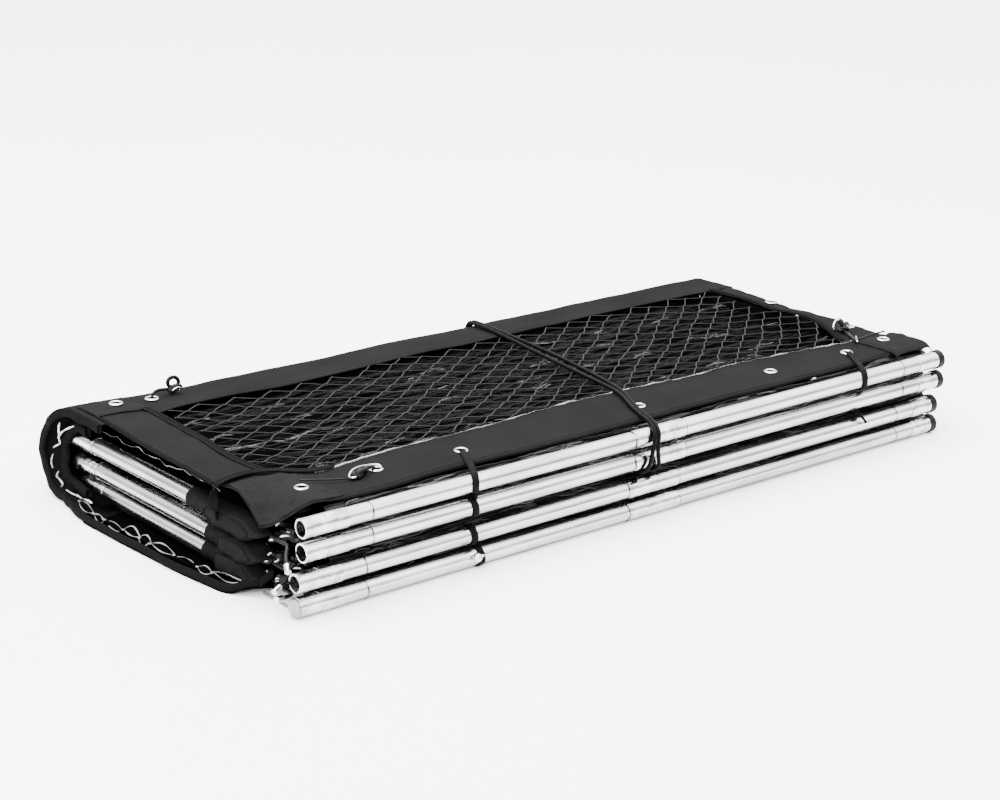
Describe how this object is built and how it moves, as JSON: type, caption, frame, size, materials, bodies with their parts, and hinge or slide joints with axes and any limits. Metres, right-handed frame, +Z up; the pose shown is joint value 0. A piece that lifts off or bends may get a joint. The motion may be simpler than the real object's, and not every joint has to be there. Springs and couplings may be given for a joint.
{
  "type": "dog bed with frame",
  "caption": "Folding pet bed packed flat: net decks with woven borders laced by elastic bands to aluminium tube frames, tied with doubled shock cord.",
  "frame": {"origin": "on the floor under the pack, midway along the long poles, 190 mm behind their axes", "axes": "+X along the long poles from the open sockets to the capped ends, +Y towards the fold at the back, +Z up"},
  "size_m": [0.8116, 0.409, 0.1044],
  "materials": {
    "drawn_tube": "bright drawn, fine lengthwise lines",
    "bright_fittings": "polished",
    "bright_nickel": "bright nickel",
    "black_rubber": "matte",
    "elastic_band": "matte, woven",
    "shock_cord": "satin, braided",
    "woven_cloth": "matte plain weave",
    "net_cord": "matte knotted net",
    "plug_plastic": "satin grey"
  },
  "bodies": {
    "lower_half": {"pole_3_socket": "bright_fittings", "pole_3_left_tube": "drawn_tube", "pole_3_sleeve": "bright_fittings", "short_tubes_3": "drawn_tube", "short_ferrules_3": "bright_fittings", "corner_boots_3": "black_rubber", "deck_3_border": "woven_cloth", "deck_3_net": "net_cord", "pole_4_socket": "bright_fittings", "pole_4_left_tube": "drawn_tube", "pole_4_sleeve": "bright_fittings", "short_tubes_4": "drawn_tube", "short_ferrules_4": "bright_fittings", "corner_boots_4": "black_rubber", "deck_4_border": "woven_cloth", "deck_4_net": "net_cord", "pole_4_end_plug": "plug_plastic", "lacing_bands_lower": "elastic_band", "eyelets_lower": "bright_nickel", "outer_fold": "woven_cloth", "inner_fold": "woven_cloth", "band_toggle": "bright_nickel", "corner_cords_3_4": "shock_cord", "cord_crimps_3_4": "bright_nickel"},
    "upper_half": {"pole_1_socket": "bright_fittings", "pole_1_left_tube": "drawn_tube", "pole_1_sleeve": "bright_fittings", "short_tubes_1": "drawn_tube", "short_ferrules_1": "bright_fittings", "corner_boots_1": "black_rubber", "deck_1_border": "woven_cloth", "deck_1_net": "net_cord", "pole_2_socket": "bright_fittings", "pole_2_left_tube": "drawn_tube", "pole_2_sleeve": "bright_fittings", "short_tubes_2": "drawn_tube", "short_ferrules_2": "bright_fittings", "corner_boots_2": "black_rubber", "deck_2_border": "woven_cloth", "deck_2_net": "net_cord", "lacing_bands_upper": "elastic_band", "eyelets_upper": "bright_nickel", "tie_cord": "shock_cord", "eyelet_cords": "shock_cord", "cord_knots": "shock_cord", "corner_cord_2": "shock_cord", "cord_crimp_2": "bright_nickel"},
    "pole_1_right_half": {"pole_1_right_tube": "drawn_tube", "pole_1_collar": "bright_fittings", "pole_1_cap": "black_rubber"},
    "pole_2_right_half": {"pole_2_right_tube": "drawn_tube", "pole_2_collar": "bright_fittings", "pole_2_cap": "black_rubber"},
    "pole_3_right_half": {"pole_3_right_tube": "drawn_tube", "pole_3_collar": "bright_fittings", "pole_3_cap": "black_rubber"},
    "pole_4_right_half": {"pole_4_right_tube": "drawn_tube", "pole_4_collar": "bright_fittings", "pole_4_cap": "black_rubber"}
  },
  "joints": [
    {"name": "book_fold", "type": "hinge", "parent": "lower_half", "child": "upper_half", "pos_m": [0, 0.182, 0.043], "axis": [-1, 0, 0], "range_deg": [0, 180], "deforming": ["outer_fold", "inner_fold"]},
    {"name": "pole_1_pull", "type": "slide", "parent": "upper_half", "child": "pole_1_right_half", "axis": [1, 0, 0], "range_m": [0, 0.024]},
    {"name": "pole_2_pull", "type": "slide", "parent": "upper_half", "child": "pole_2_right_half", "axis": [1, 0, 0], "range_m": [0, 0.024]},
    {"name": "pole_3_pull", "type": "slide", "parent": "lower_half", "child": "pole_3_right_half", "axis": [1, 0, 0], "range_m": [0, 0.024]},
    {"name": "pole_4_pull", "type": "slide", "parent": "lower_half", "child": "pole_4_right_half", "axis": [1, 0, 0], "range_m": [0, 0.024]}
  ]
}
